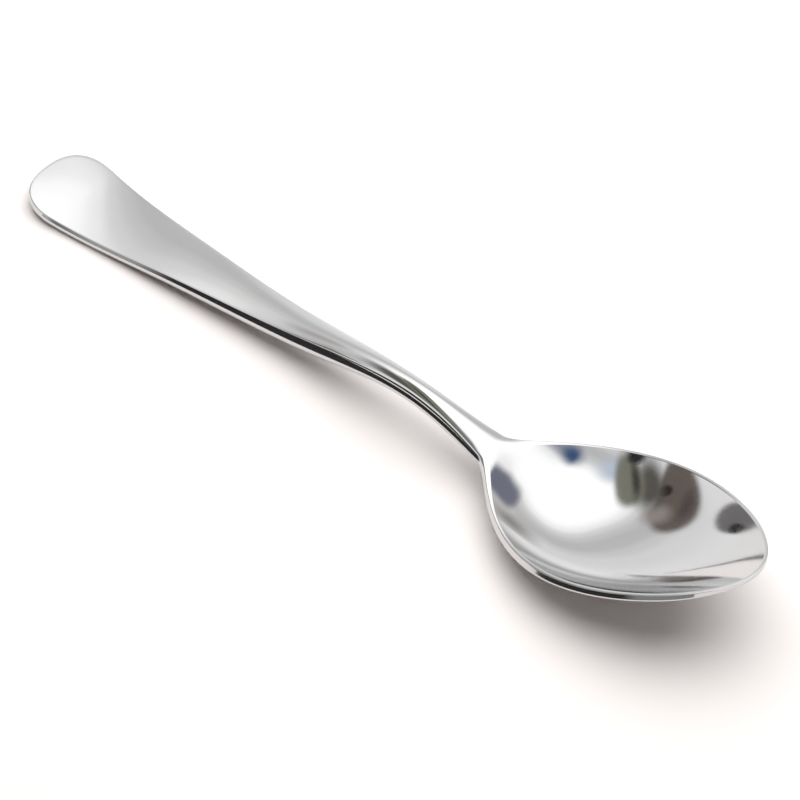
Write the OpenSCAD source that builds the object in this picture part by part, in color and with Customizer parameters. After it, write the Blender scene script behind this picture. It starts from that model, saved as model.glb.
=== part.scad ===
// A plain stainless teaspoon, stamped and polished from one piece of steel.
// Lengths are in millimetres. X runs from the handle's end to the bowl's tip, Z is up,
// and the spoon lies as it rests on a table, on its bowl and on the handle's end.

/* [Handle] */
// Length from the handle's end to the bowl's heel
handle_l = 97; // [88:0.1:130]
// Width of the handle near its end
end_w = 13.85; // [10:0.05:20]
// Length over which the end is rounded off
end_round = 8.1; // [6:0.1:10]
// Bluntness of the rounded end, where 2 is a true ellipse
end_power = 2.4; // [1.8:0.1:3.5]
// Width of the narrow neck
neck_w = 3.5; // [3:0.05:7]
// Length of the narrow neck, back from the bowl's heel
neck_l = 18.2; // [14:0.1:30]
// How quickly the handle narrows towards the neck
taper_power = 1.59; // [1.1:0.01:2]

/* [Handle thickness] */
// Thickness of the edge at the handle's end
end_t = 1.55; // [1.2:0.05:2.5]
// Thickness of the edge at the middle of the handle
middle_t = 2.1; // [1.4:0.05:3]
// Thickness of the edge at the neck
neck_t = 1.35; // [1.2:0.05:3]
// Rise of the top face above its edge, on the broad part of the handle
handle_crown = 0.45; // [0:0.05:0.8]
// Rise of the top face above its edge, on the neck
neck_crown = 0.8; // [0.3:0.05:1.2]
// Bulge of the underside below its edge, on the broad part of the handle
handle_belly = 0.15; // [0:0.05:0.5]
// Bulge of the underside below its edge, on the neck
neck_belly = 0.7; // [0.3:0.05:1.2]
// Radius that breaks the handle's top edge
edge_r = 0.25; // [0.2:0.05:0.6]
// Radius that rounds the side's lower edge, as a part of the thickness there
under_round = 0.48; // [0.2:0.02:0.5]
// Radius that rounds the neck's top edge
neck_r = 0.55; // [0.2:0.05:0.7]
// How far the handle's side leans out below its top edge, per unit of height
side_lean = 0.62; // [0:0.02:0.8]
// How far the neck's side leans out below its top edge, per unit of height
neck_lean = 0.58; // [0:0.02:0.8]

/* [Neck] */
// Width that the neck gains towards the bowl's heel
flare_w = 4.45; // [1:0.05:6]
// Length over which the neck widens
flare_l = 23.9; // [16:0.1:30]
// Tightness of the fillet between neck and bowl
join_power = 2.85; // [2.3:0.05:4]

/* [Bowl] */
// Length of the bowl from its heel to its tip
bowl_l = 46; // [38:0.5:56]
// Width of the bowl
bowl_w = 29.55; // [26:0.05:36]
// How far the bowl's outline reaches back into the neck
heel_back = 5.2; // [3:0.1:7]
// How pointed the outline is at the neck, where 0.5 is round
heel_power = 1.03; // [0.8:0.01:1.3]
// How far the bowl's widest place leans towards the neck
bowl_lean = 0.53; // [0.3:0.01:0.7]
// Depth of the hollow below the rim at the bowl's sides
bowl_depth = 5.4; // [4:0.1:7.5]
// Thickness of the bowl at its deepest place
bowl_t = 1.2; // [1:0.05:2]
// Steepness of the wall at the rim, where 1 is a plain parabola
wall_power = 1.35; // [1:0.05:1.6]
// Thickness of the rim
rim_t = 0.9; // [0.7:0.05:1.3]
// Width of the flat lip along the rim
lip_w = 0.5; // [0.4:0.05:1.2]
// Radius that breaks the rim's top edge
rim_r = 0.2; // [0.1:0.05:0.4]
// Radius that rounds the rim's lower edge, as a part of the rim's thickness
rim_round = 0.38; // [0.2:0.02:0.5]
// How far the rim's side leans out below the lip, per unit of height
rim_lean = 0.62; // [0:0.02:0.8]
// How far the hollow's point reaches back into the neck
apex_back = 5.2; // [3:0.1:6]
// How fast the hollow widens from its point, per side
apex_spread = 1.12; // [0.8:0.02:1.4]

/* [Side profile] */
// Height of the edge at the handle's very end
end_z = 2.6; // [2:0.1:4]
// Place of the lowest part of the handle, from its end
dip_x = 9.7; // [8:0.1:14]
// Height of the edge at the lowest part of the handle
dip_z = 1.5; // [1.2:0.05:2.5]
// Place where the handle starts to rise, from its end
rise_x = 29.2; // [24:0.1:36]
// Height of the edge where the handle starts to rise
rise_z = 2.6; // [2:0.1:5]
// Place of the middle of the handle's rise, from its end
middle_x = 53.6; // [46:0.1:60]
// Height of the edge at the middle of the handle's rise
middle_z = 5.05; // [4:0.05:8]
// Distance of the crest back from the bowl's heel
crest_back = 16.5; // [12:0.1:22]
// Height of the edge at the crest
crest_z = 7.8; // [6:0.1:11]
// Height of the rim at the bowl's heel
heel_z = 5.2; // [4.5:0.1:8]
// Height of the rim at the middle of the bowl
side_z = 8.4; // [7:0.1:10]
// Height of the rim at the bowl's tip
tip_z = 16; // [10:0.1:18]

/* [Detail] */
// Steps along each side of the handle's broad part
handle_steps = 22; // [12:1:30]
// Steps along each side of the neck and the bowl's heel
heel_steps = 26; // [16:1:32]
// Steps around each side of the bowl's tip
tip_steps = 20; // [10:1:24]
// Rings across the hollow
hollow_rings = 7; // [4:1:9]

/* [Hidden] */
$fa = 4;
$fs = 0.5;
steel = [0.78, 0.79, 0.8];
end_steps = 9;
top_rings = 2;
round_rings = 2;
foot_rings = 3;
under_rings = 5;
total_l = handle_l + bowl_l;
taper_l = handle_l - neck_l;
middle_of_bowl = handle_l + bowl_l / 2;
apex_x = handle_l - apex_back;
heel_x = handle_l - heel_back;
fine_l = 14;
fine_x = handle_l - fine_l;
// Where the inner ring of points lies on the handle, and beside the hollow's point.
ring_part = 0.55;
spine_part = 0.15;
ring_change_l = 6;
// Inset of the middle line's ends from the handle's end and from the bowl's tip.
end_slit = 5.5;
tip_slit = 11;
// Places and lengths over which the handle's section changes into the bowl's.
blend_r = 2.2;
keel_back = 8;
keel_l = 11;
lip_back = 2;
lip_l = 7;
settle_l = 6;
lean_l = 9;
fade_back = 9;
fade_l = 30;

// Natural cubic spline through the heights of the edge.
knots_x = [0, dip_x, rise_x, middle_x, handle_l - crest_back, handle_l, middle_of_bowl, total_l];
knots_z = [end_z, dip_z, rise_z, middle_z, crest_z, heel_z, side_z, tip_z];
last_knot = len(knots_x) - 1;

function knot_step(i) = knots_x[i + 1] - knots_x[i];
function knot_rate(i) = (knots_z[i + 1] - knots_z[i]) / knot_step(i);
function knot_sweep(i, done) =
    i == last_knot ? done :
    let (before = done[i - 1],
         pivot = 2 * (knot_step(i - 1) + knot_step(i)) - knot_step(i - 1) * before[0],
         right = 6 * (knot_rate(i) - knot_rate(i - 1)) - knot_step(i - 1) * before[1])
    knot_sweep(i + 1, concat(done, [[knot_step(i) / pivot, right / pivot]]));
knot_pairs = knot_sweep(1, [[0, 0]]);
function knot_bend(i) =
    (i == 0 || i == last_knot) ? 0 : knot_pairs[i][1] - knot_pairs[i][0] * knot_bend(i + 1);
knot_bends = [for (i = [0:last_knot]) knot_bend(i)];
function knot_span(x, i = 0) = (i == last_knot - 1 || x < knots_x[i + 1]) ? i : knot_span(x, i + 1);
function edge_z(x) =
    let (i = knot_span(x), h = knot_step(i), a = knots_x[i + 1] - x, b = x - knots_x[i])
    (knot_bends[i] * pow(a, 3) + knot_bends[i + 1] * pow(b, 3)) / (6 * h)
    + (knots_z[i] / h - knot_bends[i] * h / 6) * a
    + (knots_z[i + 1] / h - knot_bends[i + 1] * h / 6) * b;

function unit(v) = max(0, min(1, v));
function ease(v) = let (s = unit(v)) pow(s, 3) * (10 - 15 * s + 6 * s * s);
function change(x, x0, x1, a, b) = a + (b - a) * ease((x - x0) / (x1 - x0));

// Half width of the outline, seen from above.
function egg_shape(t) = sqrt(1 - t) * pow(1 + t, heel_power) * exp(-bowl_lean * t);
egg_peak = max([for (t = [-0.9:0.02:0.9]) egg_shape(t)]);
function egg(x, inset) =
    let (t = 2 * (x - heel_x) / (total_l - inset - heel_x) - 1)
    abs(t) >= 1 ? 0 : (bowl_w / 2 - inset) * egg_shape(t) / egg_peak;
function strap(x) =
    let (s = min(1, (x - end_round) / (taper_l - end_round)),
         flare = max(0, (x - handle_l + flare_l) / flare_l),
         cap = unit((end_round - x) / end_round))
    (neck_w / 2 + (end_w - neck_w) / 2 * pow(1 - s, taper_power) + flare_w / 2 * pow(flare, 3))
    * pow(max(0, 1 - pow(cap, end_power)), 1 / end_power);
function half_w(x) =
    let (e = egg(x, 0),
         h = strap(x) * (1 - ease((x - handle_l + fade_back) / fade_l)))
    e <= 0 ? h : pow(pow(e, join_power) + pow(h, join_power), 1 / join_power);

// Half width of the hollow, which starts as a point in the neck and then follows the rim.
function soft_min(a, b) = min(a, b) - pow(max(blend_r - abs(a - b), 0), 2) / (4 * blend_r);
function hollow_w(x) =
    x <= apex_x ? 0 :
    change(x, middle_of_bowl - settle_l, middle_of_bowl + settle_l,
           max(0, soft_min(half_w(x) - lip_w, apex_spread * (x - apex_x))), egg(x, lip_w));

// Depth of a dished face whose rim is at the half width w.
function dish(w, y) =
    let (q = unit((w * w - y * y) / pow(bowl_w / 2, 2)))
    1 - pow(1 - q, wall_power);

// How the cross section changes from the handle to the bowl.
function side_t(x) =
    let (a = change(x, dip_x, middle_x, end_t, middle_t),
         b = change(x, middle_x, taper_l, a, neck_t))
    change(x, apex_x - lip_l, apex_x + lip_l, b, rim_t);
function round_off(x) = let (e = unit(1 - x / end_round)) 1 - e * e;
function crown(x) =
    round_off(x) * change(x, apex_x - lip_back, apex_x + lip_l,
                          change(x, rise_x, taper_l, handle_crown, neck_crown), 0);
function belly(x) =
    round_off(x) * change(x, apex_x - lip_l, apex_x + lip_l,
                          change(x, rise_x, taper_l, handle_belly, neck_belly), 0);
function edge_break(x) =
    change(x, apex_x - lip_l, apex_x + lip_l, change(x, middle_x, taper_l, edge_r, neck_r), rim_r);
function under_break(x) =
    side_t(x) * change(x, apex_x - lip_l, apex_x + lip_l, under_round, rim_round);
function side_angle(x) =
    atan(ease(x / lean_l) * ease((total_l - x) / lean_l)
         * change(x, apex_x, apex_x + lip_l, change(x, middle_x, taper_l, side_lean, neck_lean), rim_lean));
function lean(x) = tan(side_angle(x)) * (side_t(x) - edge_break(x) * (1 - sin(side_angle(x))));
function under_w(x) = half_w(x) + lean(x);
function bulge(w, y) = w <= 0 ? 0 : max(0, 1 - pow(y / w, 2));

function top_z(x, y) =
    edge_z(x) + crown(x) * bulge(half_w(x), y)
    - (abs(y) < hollow_w(x) ? bowl_depth * dish(hollow_w(x), y) : 0);
function under_z(x, y) =
    let (w = half_w(x), inner_y = w <= 0 ? 0 : y * w / under_w(x))
    edge_z(x) - side_t(x) - belly(x) * bulge(w, inner_y)
    - (bowl_depth + bowl_t - rim_t) * ease((x - apex_x + keel_back) / keel_l) * dish(w, inner_y);

// Places along the outline, from the handle's end to the bowl's tip.
stations = concat(
    [for (k = [0:end_steps - 1]) end_round * (1 - pow(cos(90 * k / end_steps), 2 / end_power))],
    [for (k = [0:handle_steps - 1]) end_round + (fine_x - end_round) * k / handle_steps],
    [for (k = [0:heel_steps - 1]) fine_x + (middle_of_bowl - fine_x) * k / heel_steps],
    [for (k = [0:tip_steps]) middle_of_bowl + bowl_l / 2 * sin(90 * k / tip_steps)]);
last = len(stations) - 1;
around = 2 * last;
widths = [for (x = stations) half_w(x)];

function rim_point(i) = [stations[i], widths[i]];
function outward(i) =
    let (a = i == 0 ? [stations[1], -widths[1]] : rim_point(i - 1),
         b = i == last ? [stations[last - 1], -widths[last - 1]] : rim_point(i + 1),
         t = b - a)
    [-t[1], t[0]] / norm(t);
outwards = [for (i = [0:last]) outward(i)];
function slit_x(x) = max(min(x, total_l - (tip_slit + (total_l - x) / 2)), end_slit + x / 2);
function inset(i, d) = rim_point(i) - d * outwards[i];
function top_end(i) = inset(i, edge_break(stations[i]) * cos(side_angle(stations[i])));
function ring_point(i) =
    let (x = stations[i], b = top_end(i), s = [slit_x(x), 0],
         part = change(x, apex_x - ring_change_l, apex_x, ring_part, spine_part))
    x <= apex_x ? s + part * (b - s) :
    x <= middle_of_bowl ? [x, max(hollow_w(x), spine_part * b[1])] :
    let (xi = middle_of_bowl + (x - middle_of_bowl) * (1 - lip_w * 2 / bowl_l)) [xi, hollow_w(xi)];

// Rings of points, from the middle of the top face, over the edge, to the middle of the underside.
function top_at(p) = [p[0], p[1], top_z(p[0], p[1])];
function under_at(p) = [p[0], p[1], under_z(p[0], p[1])];

// The top edge is an arc from the top face to the side, at the given tilt of its normal.
function top_edge(i, tilt) =
    let (x = stations[i], r = edge_break(x), p = inset(i, r * (cos(side_angle(x)) - cos(tilt))))
    [p[0], p[1], top_z(p[0], p[1]) - r * (1 - sin(tilt))];

// The lower edge is an arc that touches the side and the underside, which rises outwards by a slope.
function foot_slope(i) =
    let (x = stations[i], foot = inset(i, -lean(x)), inner = inset(i, under_break(x) - lean(x)))
    (under_z(foot[0], foot[1]) - under_z(inner[0], inner[1])) / under_break(x);
function under_edge(i, slope, tilt) =
    let (x = stations[i], r = under_break(x), a = side_angle(x), foot = inset(i, -lean(x)),
         stretch = norm([1, slope]),
         back = r * (1 + stretch * sin(a)) / (cos(a) + slope * sin(a)),
         p = inset(i, back - lean(x) - r * cos(tilt)))
    [p[0], p[1], under_z(foot[0], foot[1]) - slope * back + r * (stretch + sin(tilt))];
function column(i) =
    let (x = stations[i], s = [slit_x(x), 0], c = ring_point(i), b = top_end(i), a = side_angle(x),
         slope = foot_slope(i), end = atan(slope) - 90,
         u = under_edge(i, slope, end))
    concat(
        [for (k = [0:hollow_rings]) top_at(s + (c - s) * k / hollow_rings)],
        [for (k = [1:top_rings - 1]) top_at(c + (b - c) * k / top_rings)],
        [for (k = [0:round_rings]) top_edge(i, 90 + (a - 90) * k / round_rings)],
        [for (k = [0:foot_rings]) under_edge(i, slope, a + (end - a) * k / foot_rings)],
        [for (k = [1:under_rings]) under_at([u[0], u[1]] + (s - [u[0], u[1]]) * k / under_rings)]);
columns = [for (i = [0:last]) column(i)];
rings = len(columns[0]);
lowest = min([for (c = columns) for (p = c) p[2]]);

// A mirrored column shares its first and last point with its twin, so it holds only those between.
function point_id(j, k) =
    j <= last ? j * rings + k :
    (k == 0 || k == rings - 1) ? (around - j) * rings + k :
    (last + 1) * rings + (j - last - 1) * (rings - 2) + k - 1;
function placed(p, side) = [p[0] - total_l / 2, side * p[1], p[2] - lowest];
points = concat(
    [for (i = [0:last]) for (p = columns[i]) placed(p, 1)],
    [for (j = [last + 1:around - 1]) for (k = [1:rings - 2]) placed(columns[around - j][k], -1)]);
function tri(a, b, c) = (a == b || b == c || a == c) ? [] : [[a, b, c]];
function quad(a, b, c, d) = concat(tri(a, d, c), tri(a, c, b));
faces = [for (j = [0:around - 1]) let (n = (j + 1) % around)
    for (k = [0:rings - 2])
    for (f = quad(point_id(j, k), point_id(n, k), point_id(n, k + 1), point_id(j, k + 1))) f];

module spoon() {
    color(steel)
        polyhedron(points = points, faces = faces, convexity = 6);
}

spoon();
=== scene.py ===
"""A plain polished teaspoon at rest on a white table."""
import math

import bpy
import numpy as np
from mathutils import Matrix, Vector


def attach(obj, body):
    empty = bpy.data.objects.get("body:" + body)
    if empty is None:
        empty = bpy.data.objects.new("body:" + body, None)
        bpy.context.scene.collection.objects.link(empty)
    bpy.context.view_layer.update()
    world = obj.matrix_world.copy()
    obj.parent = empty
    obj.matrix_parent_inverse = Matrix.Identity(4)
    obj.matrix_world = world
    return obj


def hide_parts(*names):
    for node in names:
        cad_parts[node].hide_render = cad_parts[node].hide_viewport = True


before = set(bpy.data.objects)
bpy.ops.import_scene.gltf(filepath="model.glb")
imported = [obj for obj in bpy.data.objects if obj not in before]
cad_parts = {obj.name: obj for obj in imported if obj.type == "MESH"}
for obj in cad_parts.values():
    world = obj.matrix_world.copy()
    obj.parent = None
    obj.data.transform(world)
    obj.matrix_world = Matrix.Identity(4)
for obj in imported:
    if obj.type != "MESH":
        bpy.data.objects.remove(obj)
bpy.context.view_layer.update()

MM = 0.001
TINY = 1e-9

# The spoon's sizes in millimetres, the same as in the part's source.
HANDLE_L = 97.0
END_W = 13.85
END_ROUND = 8.1
END_POWER = 2.4
NECK_W = 3.5
NECK_L = 18.2
TAPER_POWER = 1.59
END_T = 1.55
MIDDLE_T = 2.1
NECK_T = 1.35
HANDLE_CROWN = 0.45
NECK_CROWN = 0.8
HANDLE_BELLY = 0.15
NECK_BELLY = 0.7
EDGE_R = 0.25
UNDER_ROUND = 0.48
NECK_R = 0.55
SIDE_LEAN = 0.62
NECK_LEAN = 0.58
FLARE_W = 4.45
FLARE_L = 23.9
JOIN_POWER = 2.85
BOWL_L = 46.0
BOWL_W = 29.55
HEEL_BACK = 5.2
HEEL_POWER = 1.03
BOWL_LEAN = 0.53
BOWL_DEPTH = 5.4
BOWL_T = 1.2
WALL_POWER = 1.35
RIM_T = 0.9
LIP_W = 0.5
RIM_R = 0.2
RIM_ROUND = 0.38
RIM_LEAN = 0.62
APEX_BACK = 5.2
APEX_SPREAD = 1.12
DIP_X = 9.7
RISE_X = 29.2
MIDDLE_X = 53.6
CREST_BACK = 16.5
BLEND_R = 2.2
KEEL_BACK = 8.0
KEEL_L = 11.0
LIP_BACK = 2.0
LIP_L = 7.0
SETTLE_L = 6.0
LEAN_L = 9.0
FADE_BACK = 9.0
FADE_L = 30.0
FINE_L = 14.0
END_SLIT = 5.5
TIP_SLIT = 11.0
RING_PART = 0.55
SPINE_PART = 0.15
RING_CHANGE_L = 6.0

TOTAL_L = HANDLE_L + BOWL_L
TAPER_L = HANDLE_L - NECK_L
BOWL_MIDDLE = HANDLE_L + BOWL_L / 2
APEX_X = HANDLE_L - APEX_BACK
HEEL_X = HANDLE_L - HEEL_BACK
FINE_X = HANDLE_L - FINE_L

# Heights of the edge along the spoon: the place from the handle's end, then the height.
EDGE_KNOTS = np.array([
    (0, 2.6), (DIP_X, 1.5), (RISE_X, 2.6), (MIDDLE_X, 5.05),
    (HANDLE_L - CREST_BACK, 7.8), (HANDLE_L, 5.2), (BOWL_MIDDLE, 8.4), (TOTAL_L, 16.0)])

# Where the egg shape is read to find its widest place, from -1 at the heel to 1 at the tip.
EGG_PLACES = np.arange(-0.9, 0.91, 0.02)

# How finely the visible surface is divided.
END_STEPS = 30
HANDLE_STEPS = 90
HEEL_STEPS = 110
TIP_STEPS = 60
HOLLOW_RINGS = 46
LAND_RINGS = 6
ROUND_RINGS = 8
FOOT_RINGS = 12
SIDE_RINGS = (0.1, 0.5, 0.9)
UNDER_RINGS = 30
CREASE_R = 0.08
CREASE_LAND_PART = 0.5
RING_GATHERING = 1.5

# The steel's finish. Each noise has its cells per metre along X, Y and Z, then its detail.
HAZE_NOISE = ((90, 120, 120), 4)
LINE_NOISE = ((220, 5200, 5200), 2)
WAVE_NOISE = ((110, 140, 140), 1)
# The noise runs mostly between these two values, which get the two tints and the two roughnesses.
NOISE_RANGE = (0.3, 0.7)
STEEL_TINTS = ((0.61, 0.612, 0.62), (0.64, 0.637, 0.634))
ROUGHNESS = (0.05, 0.1)
# Heights in metres.
WAVE_HEIGHT = 0.00002
LINE_HEIGHT = 0.0000004

# The camera, fitted to the photograph's outline.
VIEW_AZIMUTH = 41.81
VIEW_ELEVATION = 47.18
VIEW_ROLL = 0.16
VIEW_DISTANCE = 0.8715
VIEW_TARGET = (0.00415, -0.00151, 0.00513)
LENS = 262.1
SENSOR = 36.0
CLIP_START = 0.01
CLIP_END = 10

# The studio. Directions are degrees from straight up, towards +X and towards +Y.
TABLE_SIZE = 0.6
TABLE_COLOUR = (0.95, 0.95, 0.95, 1)
TABLE_ROUGHNESS = 0.9
TABLE_SPECULAR = 0.2
TABLE_GLOW = 0.01
TABLE_GLOW_COLOUR = (1, 0.55, 0.35, 1)
BOWL_CENTRE = (0.045, 0, 0.008)
SOFTBOX_AT = (-8, 15)
SOFTBOX_DISTANCE = 0.55
SOFTBOX_REACH = 72
SOFTBOX_PEAK = 1.8
# Degrees from the softbox's middle, then the level there.
SOFTBOX_LEVELS = [
    (72, 1.1), (58, 1.0), (53, 0.88), (49, 0.75), (45, 0.74), (41, 0.84), (37, 1.0), (33, 1.32),
    (28, 1.55), (20, 1.8)]
ROOM_MIRRORED = (1.11, 1.095, 1.08)
ROOM_FILL = (0.025, 0.01, 0.004)
# Direction, distance, size and power of the lamp, then its colour.
LAMP = (-5, 16, 1.0, 1.76, 21, (1, 0.96, 0.945))

# The cards that the bowl mirrors: direction, distance, width, height and turn, then colour and softness.
CARDS = {
    "blue_card": (12, -17, 0.5, 22, 28, 0, (0.065, 0.125, 0.27), 0.8),
    "haze_card": (-14, -24, 0.52, 30, 38, 0, (0.72, 0.82, 0.96), 1.0),
    "slate_card": (9, 56, 0.6, 13, 44, 16, (0.23, 0.24, 0.31), 0.6),
    "grey_card": (-12, 78, 0.6, 34, 36, 0, (0.4, 0.38, 0.36), 1.0),
    "brown_card": (-58, -14, 0.68, 23, 66, 9, (0.18, 0.15, 0.13), 0.25),
    "brown_light": (-54, 6, 0.66, 17, 28, 0, (0.4, 0.35, 0.32), 0.8),
    "brown_edge": (-64, -8, 0.66, 9, 36, 0, (0.11, 0.09, 0.085), 0.9),
    "brown_spot": (-50.5, -19, 0.65, 9, 13, 0, (0.02, 0.014, 0.014), 0.5),
    "olive_card": (-30, -17, 0.15, 21, 60, 26, (0.27, 0.27, 0.22), 0.4),
    "olive_back": (-42, -19, 0.16, 22, 62, 19, (0.14, 0.13, 0.115), 0.7),
    "olive_edge": (-33, -20, 0.14, 8, 54, 26, (0.06, 0.065, 0.05), 0.9),
    "olive_spot": (-24, -40, 0.135, 16, 18, 0, (0.03, 0.03, 0.03), 0.6),
    "low_card": (-80, 0, 0.9, 11.5, 21, 0, (0.22, 0.21, 0.21), 0.3),
    "low_spot": (-80.8, 8.5, 0.85, 3.5, 8, 0, (0.015, 0.01, 0.01), 0.4),
    "dark_room": (-30, -80, 1.2, 120, 34, 0, (0.035, 0.035, 0.035), 0.2),
    "front_card": (24, -77, 1.0, 64, 32, 0, (0.3, 0.3, 0.3), 0.3)}

# A card close to the handle's end, as that end sees it, and the dark floor around the table.
HANDLE_END = (-0.06, 0, 0.003)
END_CARD = (-45, -66, 0.0985, 34, 44, 0, (0.53, 0.54, 0.53), 0.35)
FLOOR_SIZE = 6.0
FLOOR_DROP = 0.03
FLOOR_COLOUR = (0.08, 0.075, 0.075, 1)


def ease(value):
    """From 0 to 1 with no jump in slope or curvature."""
    s = np.clip(value, 0, 1)
    return s**3 * (10 - 15 * s + 6 * s**2)


def change(x, x0, x1, a, b):
    return a + (b - a) * ease((x - x0) / (x1 - x0))


def natural_spline(knots):
    """A smooth curve through the knots, as a function of x."""
    xs, zs = knots.T
    steps = np.diff(xs)
    rates = np.diff(zs) / steps
    system = np.eye(len(xs))
    right = np.zeros(len(xs))
    for i in range(1, len(xs) - 1):
        system[i, i - 1:i + 2] = steps[i - 1], 2 * (steps[i - 1] + steps[i]), steps[i]
        right[i] = 6 * (rates[i] - rates[i - 1])
    bends = np.linalg.solve(system, right)

    def height(x):
        i = np.clip(np.searchsorted(xs, x, side="right") - 1, 0, len(xs) - 2)
        h, a, b = steps[i], xs[i + 1] - x, x - xs[i]
        bent = (bends[i] * a**3 + bends[i + 1] * b**3) / (6 * h)
        return bent + (zs[i] / h - bends[i] * h / 6) * a + (zs[i + 1] / h - bends[i + 1] * h / 6) * b

    return height


edge_height = natural_spline(EDGE_KNOTS)


def egg_shape(t):
    return np.sqrt(1 - t) * (1 + t) ** HEEL_POWER * np.exp(-BOWL_LEAN * t)


EGG_PEAK = egg_shape(EGG_PLACES).max()


def egg(x, inset):
    t = np.clip(2 * (x - HEEL_X) / (TOTAL_L - inset - HEEL_X) - 1, -1, 1)
    return (BOWL_W / 2 - inset) * egg_shape(t) / EGG_PEAK


def strap(x):
    s = np.minimum(1, (x - END_ROUND) / (TAPER_L - END_ROUND))
    flare = np.maximum(0, (x - HANDLE_L + FLARE_L) / FLARE_L)
    cap = np.clip((END_ROUND - x) / END_ROUND, 0, 1)
    sides = NECK_W / 2 + (END_W - NECK_W) / 2 * (1 - s) ** TAPER_POWER + FLARE_W / 2 * flare**3
    return sides * (1 - cap**END_POWER) ** (1 / END_POWER)


def half_width(x):
    """Half width of the outline, seen from above."""
    handle = strap(x) * (1 - ease((x - HANDLE_L + FADE_BACK) / FADE_L))
    return (egg(x, 0) ** JOIN_POWER + handle**JOIN_POWER) ** (1 / JOIN_POWER)


def hollow_width(x):
    """Half width of the hollow, which starts as a point in the neck."""
    inner = half_width(x) - LIP_W
    wedge = APEX_SPREAD * (x - APEX_X)
    near = np.minimum(inner, wedge) - np.maximum(BLEND_R - abs(inner - wedge), 0) ** 2 / (4 * BLEND_R)
    width = change(x, BOWL_MIDDLE - SETTLE_L, BOWL_MIDDLE + SETTLE_L, np.maximum(0, near), egg(x, LIP_W))
    return np.where(x <= APEX_X, 0, width)


def dish(width, y):
    q = np.clip((width**2 - y**2) / (BOWL_W / 2) ** 2, 0, 1)
    return 1 - (1 - q) ** WALL_POWER


def side_thickness(x):
    broad = change(x, DIP_X, MIDDLE_X, END_T, MIDDLE_T)
    narrow = change(x, MIDDLE_X, TAPER_L, broad, NECK_T)
    return change(x, APEX_X - LIP_L, APEX_X + LIP_L, narrow, RIM_T)


def round_off(x):
    return 1 - np.clip(1 - x / END_ROUND, 0, 1) ** 2


def swelling(x, width, y, broad, neck, back):
    """How far the handle's rounded face stands out from its edge."""
    height = change(x, APEX_X - back, APEX_X + LIP_L, change(x, RISE_X, TAPER_L, broad, neck), 0)
    return round_off(x) * height * np.maximum(0, 1 - (y / np.maximum(width, TINY)) ** 2)


def edge_break(x):
    """Radius of the top edge."""
    handle = change(x, MIDDLE_X, TAPER_L, EDGE_R, NECK_R)
    return change(x, APEX_X - LIP_L, APEX_X + LIP_L, handle, RIM_R)


def side_angle(x):
    """How far the side leans out from upright, in radians."""
    handle = change(x, MIDDLE_X, TAPER_L, SIDE_LEAN, NECK_LEAN)
    slope = change(x, APEX_X, APEX_X + LIP_L, handle, RIM_LEAN)
    return np.arctan(ease(x / LEAN_L) * ease((TOTAL_L - x) / LEAN_L) * slope)


def lean(x):
    """How far the foot of the side stands out beyond its top."""
    angle = side_angle(x)
    return np.tan(angle) * (side_thickness(x) - edge_break(x) * (1 - np.sin(angle)))


def top_height(x, y):
    hollow = hollow_width(x)
    crown = swelling(x, half_width(x), y, HANDLE_CROWN, NECK_CROWN, LIP_BACK)
    return edge_height(x) + crown - np.where(abs(y) < hollow, BOWL_DEPTH * dish(hollow, y), 0)


def under_height(x, y):
    width = half_width(x)
    inner_y = y * width / np.maximum(width + lean(x), TINY)
    belly = swelling(x, width, inner_y, HANDLE_BELLY, NECK_BELLY, LIP_L)
    keel = ease((x - APEX_X + KEEL_BACK) / KEEL_L) * dish(width, inner_y)
    return edge_height(x) - side_thickness(x) - belly - (BOWL_DEPTH + BOWL_T - RIM_T) * keel


def outline_places():
    quarter = np.linspace(0, np.pi / 2, END_STEPS, endpoint=False)
    return np.concatenate([
        END_ROUND * (1 - np.cos(quarter) ** (2 / END_POWER)),
        np.linspace(END_ROUND, FINE_X, HANDLE_STEPS, endpoint=False),
        np.linspace(FINE_X, BOWL_MIDDLE, HEEL_STEPS, endpoint=False),
        BOWL_MIDDLE + BOWL_L / 2 * np.sin(np.linspace(0, np.pi / 2, TIP_STEPS + 1))])


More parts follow.
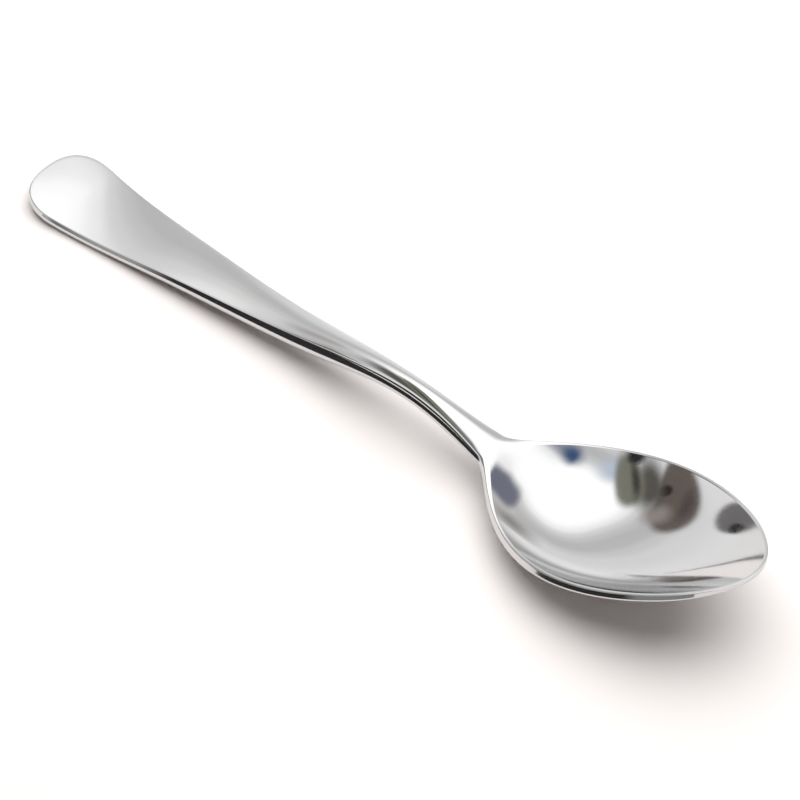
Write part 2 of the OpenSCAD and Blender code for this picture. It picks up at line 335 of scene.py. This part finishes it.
def surface_grid():
    """Points of one half of the spoon: one column per place on the outline, from top to underside."""
    x = outline_places()
    edge = np.stack([x, half_width(x)], 1)
    flip = (1, -1)
    along = np.vstack([edge[1:], edge[-2] * flip]) - np.vstack([edge[1] * flip, edge[:-1]])
    outward = np.stack([-along[:, 1], along[:, 0]], 1) / np.linalg.norm(along, axis=1, keepdims=True)
    angle = side_angle(x)
    corner = edge_break(x)
    inside = edge - (corner * np.cos(angle))[:, None] * outward
    slit_x = np.maximum(np.minimum(x, TOTAL_L - (TIP_SLIT + (TOTAL_L - x) / 2)), END_SLIT + x / 2)
    slit = np.stack([slit_x, np.zeros_like(x)], 1)

    part = change(x, APEX_X - RING_CHANGE_L, APEX_X, RING_PART, SPINE_PART)[:, None]
    on_handle = slit + part * (inside - slit)
    in_heel = np.stack([x, np.maximum(hollow_width(x), SPINE_PART * inside[:, 1])], 1)
    tip_x = BOWL_MIDDLE + (x - BOWL_MIDDLE) * (1 - LIP_W * 2 / BOWL_L)
    in_tip = np.stack([tip_x, hollow_width(tip_x)], 1)
    beyond = x[:, None]
    crease = np.where(beyond <= APEX_X, on_handle, np.where(beyond <= BOWL_MIDDLE, in_heel, in_tip))

    columns = []

    def add(points, height):
        columns.append(np.column_stack([points, height(points[:, 0], points[:, 1])]))

    reach = np.linalg.norm(crease - slit, axis=1, keepdims=True)
    near_crease = np.maximum(0, 1 - CREASE_R / np.maximum(reach, CREASE_R))
    for t in np.append(1 - (1 - np.linspace(0, 1, HOLLOW_RINGS, endpoint=False)) ** RING_GATHERING, 1):
        add(slit + t * near_crease * (crease - slit), top_height)
    land = np.maximum(np.linalg.norm(inside - crease, axis=1, keepdims=True), CREASE_R)
    past_crease = np.minimum(CREASE_LAND_PART, CREASE_R / land)
    add(crease, top_height)
    for t in np.linspace(0, 1, LAND_RINGS, endpoint=False):
        add(crease + (past_crease + t * (1 - past_crease)) * (inside - crease), top_height)
    for t in np.linspace(0, 1, ROUND_RINGS + 1):
        tilt = np.pi / 2 + t * (angle - np.pi / 2)
        place = edge - (corner * (np.cos(angle) - np.cos(tilt)))[:, None] * outward
        add(place, lambda px, py, tilt=tilt: top_height(px, py) - corner * (1 - np.sin(tilt)))
    side_top = columns[-1]

    foot = edge + lean(x)[:, None] * outward
    foot_r = change(x, APEX_X - LIP_L, APEX_X + LIP_L, UNDER_ROUND, RIM_ROUND) * side_thickness(x)
    inner = foot - foot_r[:, None] * outward
    slope = (under_height(*foot.T) - under_height(*inner.T)) / foot_r
    stretch = np.hypot(1, slope)
    back = foot_r * (1 + stretch * np.sin(angle)) / (np.cos(angle) + slope * np.sin(angle))
    last_tilt = np.arctan(slope) - np.pi / 2
    arc = []
    for t in np.linspace(0, 1, FOOT_RINGS + 1):
        tilt = angle + t * (last_tilt - angle)
        place = foot - (back - foot_r * np.cos(tilt))[:, None] * outward
        height = under_height(*foot.T) - slope * back + foot_r * (stretch + np.sin(tilt))
        arc.append(np.column_stack([place, height]))
    columns.extend(side_top + t * (arc[0] - side_top) for t in SIDE_RINGS)
    columns.extend(arc)
    under = arc[-1][:, :2]
    for t in np.linspace(0, 1, UNDER_RINGS + 1)[1:]:
        add(under + t * (slit - under), under_height)
    return np.stack(columns, 1)


def build_spoon():
    grid = surface_grid()
    count, rings = grid.shape[:2]
    around = 2 * (count - 1)
    lowest = grid[..., 2].min()
    grid = (grid - (TOTAL_L / 2, 0, lowest)) * MM
    twin = grid[-2:0:-1, 1:-1] * (1, -1, 1)
    points = np.vstack([grid.reshape(-1, 3), twin.reshape(-1, 3)])

    def point_id(j, k):
        if j < count:
            return j * rings + k
        if k in (0, rings - 1):
            return (around - j) * rings + k
        return count * rings + (j - count) * (rings - 2) + k - 1

    faces = []
    for j in range(around):
        n = (j + 1) % around
        for k in range(rings - 1):
            corners = point_id(j, k), point_id(n, k), point_id(n, k + 1), point_id(j, k + 1)
            faces.append(list(dict.fromkeys(corners)))
    mesh = bpy.data.meshes.new("polished_spoon")
    mesh.from_pydata(points.tolist(), [], [f for f in faces if len(f) > 2])
    mesh.validate()
    mesh.shade_smooth()
    spoon = bpy.data.objects.new("polished_spoon", mesh)
    bpy.context.collection.objects.link(spoon)
    return spoon


def new_material(name):
    material = bpy.data.materials.new(name)
    material.use_nodes = True
    return material, material.node_tree.nodes, material.node_tree.links


def polished_steel():
    """Mirror-polished steel with faint polishing lines, a little haze and soft waviness."""
    material, nodes, links = new_material("polished_steel")
    shader = nodes["Principled BSDF"]
    shader.inputs["Metallic"].default_value = 1
    place = nodes.new("ShaderNodeTexCoord")

    def noise(stretch, detail):
        scaled = nodes.new("ShaderNodeMapping")
        scaled.inputs["Scale"].default_value = stretch
        links.new(place.outputs["Object"], scaled.inputs["Vector"])
        texture = nodes.new("ShaderNodeTexNoise")
        texture.inputs["Scale"].default_value = 1
        texture.inputs["Detail"].default_value = detail
        links.new(scaled.outputs["Vector"], texture.inputs["Vector"])
        return texture.outputs["Fac"]

    haze = noise(*HAZE_NOISE)
    lines = noise(*LINE_NOISE)
    waves = noise(*WAVE_NOISE)

    tint = nodes.new("ShaderNodeValToRGB")
    for stop, position, colour in zip(tint.color_ramp.elements, NOISE_RANGE, STEEL_TINTS):
        stop.position = position
        stop.color = (*colour, 1)
    links.new(haze, tint.inputs["Fac"])
    links.new(tint.outputs["Color"], shader.inputs["Base Color"])

    gloss = nodes.new("ShaderNodeMapRange")
    for socket, value in zip(("From Min", "From Max", "To Min", "To Max"), (*NOISE_RANGE, *ROUGHNESS)):
        gloss.inputs[socket].default_value = value
    links.new(lines, gloss.inputs["Value"])
    links.new(gloss.outputs["Result"], shader.inputs["Roughness"])

    wavy = nodes.new("ShaderNodeBump")
    wavy.inputs["Distance"].default_value = WAVE_HEIGHT
    links.new(waves, wavy.inputs["Height"])
    polished = nodes.new("ShaderNodeBump")
    polished.inputs["Distance"].default_value = LINE_HEIGHT
    links.new(lines, polished.inputs["Height"])
    links.new(wavy.outputs["Normal"], polished.inputs["Normal"])
    links.new(polished.outputs["Normal"], shader.inputs["Normal"])
    return material


def build_object(name, points, faces, material):
    mesh = bpy.data.meshes.new(name)
    mesh.from_pydata(points, [], faces)
    mesh.materials.append(material)
    thing = bpy.data.objects.new(name, mesh)
    bpy.context.collection.objects.link(thing)
    return thing


def flat_square(name, side, material):
    """A square that lies flat around the origin."""
    half = side / 2
    corners = [(-half, -half, 0), (half, -half, 0), (half, half, 0), (-half, half, 0)]
    return build_object(name, corners, [(0, 1, 2, 3)], material)


def show_only_mirrored(thing):
    """Keep a thing out of the camera's view and out of the table's light."""
    thing.visible_camera = False
    thing.visible_diffuse = False
    thing.visible_shadow = False


def white_table():
    """A white table whose soft shadows stay, while its lit part shows as plain white."""
    material, nodes, links = new_material("white_table")
    shader = nodes["Principled BSDF"]
    shader.inputs["Base Color"].default_value = TABLE_COLOUR
    shader.inputs["Roughness"].default_value = TABLE_ROUGHNESS
    shader.inputs["Specular IOR Level"].default_value = TABLE_SPECULAR
    path = nodes.new("ShaderNodeLightPath")
    seen = nodes.new("ShaderNodeMath")
    seen.operation = "MAXIMUM"
    links.new(path.outputs["Is Camera Ray"], seen.inputs[0])
    links.new(path.outputs["Is Glossy Ray"], seen.inputs[1])
    glow = nodes.new("ShaderNodeMath")
    glow.operation = "MULTIPLY"
    glow.inputs[1].default_value = TABLE_GLOW
    links.new(seen.outputs[0], glow.inputs[0])
    links.new(glow.outputs[0], shader.inputs["Emission Strength"])
    shader.inputs["Emission Color"].default_value = TABLE_GLOW_COLOUR
    flat_square("white_table", TABLE_SIZE, material)


def sky_direction(across, along):
    """The direction that lies this many degrees from straight up, towards +X and towards +Y."""
    tilt = math.radians(math.hypot(across, along))
    heading = math.atan2(along, across)
    level = math.sin(tilt)
    return Vector((level * math.cos(heading), level * math.sin(heading), math.cos(tilt)))


def face_card(name, material, viewer, towards, distance, side, size):
    """A square card of the given half sizes that faces the viewer and shows only in reflections."""
    card = build_object(name, [(-1, -1, 0), (1, -1, 0), (1, 1, 0), (-1, 1, 0)], [(0, 1, 2, 3)], material)
    facing = Matrix((side, towards.cross(side), towards)).transposed().to_4x4()
    place = Matrix.Translation(Vector(viewer) + distance * towards)
    card.matrix_world = place @ facing @ Matrix.Diagonal((*size, 1, 1))
    show_only_mirrored(card)


def studio_card(name, viewer, across, along, distance, width, height, turn, colour, softness):
    """A soft-edged oval card: its direction, distance, size and turn, as the viewer sees it."""
    material, nodes, links = new_material(name)
    nodes.remove(nodes["Principled BSDF"])
    place = nodes.new("ShaderNodeTexCoord")
    round_fade = nodes.new("ShaderNodeTexGradient")
    round_fade.gradient_type = "SPHERICAL"
    links.new(place.outputs["Object"], round_fade.inputs["Vector"])
    edge = nodes.new("ShaderNodeMapRange")
    edge.interpolation_type = "SMOOTHSTEP"
    edge.inputs["From Max"].default_value = softness
    links.new(round_fade.outputs["Fac"], edge.inputs["Value"])
    clear = nodes.new("ShaderNodeBsdfTransparent")
    glow = nodes.new("ShaderNodeEmission")
    glow.inputs["Color"].default_value = (*colour, 1)
    mix = nodes.new("ShaderNodeMixShader")
    links.new(edge.outputs["Result"], mix.inputs["Fac"])
    links.new(clear.outputs["BSDF"], mix.inputs[1])
    links.new(glow.outputs["Emission"], mix.inputs[2])
    links.new(mix.outputs["Shader"], nodes["Material Output"].inputs["Surface"])

    towards = sky_direction(across, along)
    across_card = (sky_direction(across + 1, along) - sky_direction(across - 1, along)).normalized()
    side = Matrix.Rotation(math.radians(turn), 3, towards) @ across_card
    side = (side - side.dot(towards) * towards).normalized()
    size = [distance * math.tan(math.radians(angle / 2)) for angle in (width, height)]
    face_card(name, material, viewer, towards, distance, side, size)


def softbox():
    """A wide overhead softbox with a dimmer frame around it and light walls beyond."""
    material, nodes, links = new_material("softbox")
    nodes.remove(nodes["Principled BSDF"])
    place = nodes.new("ShaderNodeTexCoord")
    round_fade = nodes.new("ShaderNodeTexGradient")
    round_fade.gradient_type = "SPHERICAL"
    links.new(place.outputs["Object"], round_fade.inputs["Vector"])
    ramp = nodes.new("ShaderNodeValToRGB")
    ramp.color_ramp.interpolation = "EASE"
    links.new(round_fade.outputs["Fac"], ramp.inputs["Fac"])
    reach = math.tan(math.radians(SOFTBOX_REACH))
    for degrees, level in SOFTBOX_LEVELS:
        stop = ramp.color_ramp.elements.new(1 - math.tan(math.radians(degrees)) / reach)
        stop.color = (*[level / SOFTBOX_PEAK] * 3, 1)
    ramp.color_ramp.elements.remove(ramp.color_ramp.elements[0])
    glow = nodes.new("ShaderNodeEmission")
    glow.inputs["Strength"].default_value = SOFTBOX_PEAK
    links.new(ramp.outputs["Color"], glow.inputs["Color"])
    links.new(glow.outputs["Emission"], nodes["Material Output"].inputs["Surface"])
    towards = sky_direction(*SOFTBOX_AT)
    side = Vector((0, 1, 0)).cross(towards).normalized()
    size = [SOFTBOX_DISTANCE * reach] * 2
    face_card("softbox", material, BOWL_CENTRE, towards, SOFTBOX_DISTANCE, side, size)


def dark_floor():
    """The floor around the table, which only reflections near the horizon show."""
    material, nodes, links = new_material("dark_floor")
    nodes.remove(nodes["Principled BSDF"])
    glow = nodes.new("ShaderNodeEmission")
    glow.inputs["Color"].default_value = FLOOR_COLOUR
    links.new(glow.outputs["Emission"], nodes["Material Output"].inputs["Surface"])
    floor = flat_square("dark_floor", FLOOR_SIZE, material)
    floor.location.z = -FLOOR_DROP
    show_only_mirrored(floor)


def studio_room():
    """White behind the table, light walls for the steel to mirror and a warm fill in the shadows."""
    world = bpy.data.worlds.new("studio_room")
    world.use_nodes = True
    nodes, links = world.node_tree.nodes, world.node_tree.links
    fill = nodes["Background"]
    fill.inputs["Color"].default_value = (*ROOM_FILL, 1)
    walls = nodes.new("ShaderNodeBackground")
    walls.inputs["Color"].default_value = (*ROOM_MIRRORED, 1)
    white = nodes.new("ShaderNodeBackground")
    white.inputs["Color"].default_value = (1, 1, 1, 1)
    path = nodes.new("ShaderNodeLightPath")
    mirrored = nodes.new("ShaderNodeMixShader")
    links.new(path.outputs["Is Glossy Ray"], mirrored.inputs["Fac"])
    links.new(fill.outputs["Background"], mirrored.inputs[1])
    links.new(walls.outputs["Background"], mirrored.inputs[2])
    seen = nodes.new("ShaderNodeMixShader")
    links.new(path.outputs["Is Camera Ray"], seen.inputs["Fac"])
    links.new(mirrored.outputs["Shader"], seen.inputs[1])
    links.new(white.outputs["Background"], seen.inputs[2])
    links.new(seen.outputs["Shader"], nodes["World Output"].inputs["Surface"])
    bpy.context.scene.world = world


def soft_lamp(across, along, distance, size, power, colour):
    """A wide round lamp above the spoon, which reflections do not show."""
    light = bpy.data.objects.new("soft_lamp", bpy.data.lights.new("soft_lamp", "AREA"))
    light.data.shape = "DISK"
    light.data.size = size
    light.data.energy = power
    light.data.color = colour
    towards = sky_direction(across, along)
    light.matrix_world = (Matrix.Translation(distance * towards)
                          @ towards.to_track_quat("Z", "Y").to_matrix().to_4x4())
    light.visible_glossy = False
    light.visible_camera = False
    bpy.context.collection.objects.link(light)


def aim_camera():
    azimuth, elevation, roll = map(math.radians, (VIEW_AZIMUTH, VIEW_ELEVATION, VIEW_ROLL))
    back = Vector((
        math.sin(azimuth) * math.cos(elevation),
        -math.cos(azimuth) * math.cos(elevation),
        math.sin(elevation)))
    camera = bpy.data.objects.new("camera", bpy.data.cameras.new("camera"))
    camera.data.lens = LENS
    camera.data.sensor_width = SENSOR
    camera.data.clip_start = CLIP_START
    camera.data.clip_end = CLIP_END
    turn = (-back).to_track_quat("-Z", "Y").to_matrix().to_4x4()
    camera.matrix_world = Matrix.Translation(Vector(VIEW_TARGET) + VIEW_DISTANCE * back) @ turn
    camera.matrix_world = camera.matrix_world @ Matrix.Rotation(roll, 4, "Z")
    bpy.context.collection.objects.link(camera)
    bpy.context.scene.camera = camera


spoon = build_spoon()
spoon.data.materials.append(polished_steel())
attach(spoon, "root")
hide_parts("spoon")
white_table()
studio_room()
softbox()
dark_floor()
for card_name, card in CARDS.items():
    studio_card(card_name, BOWL_CENTRE, *card)
studio_card("end_card", HANDLE_END, *END_CARD)
soft_lamp(*LAMP)
aim_camera()
bpy.context.scene.view_settings.view_transform = "Standard"
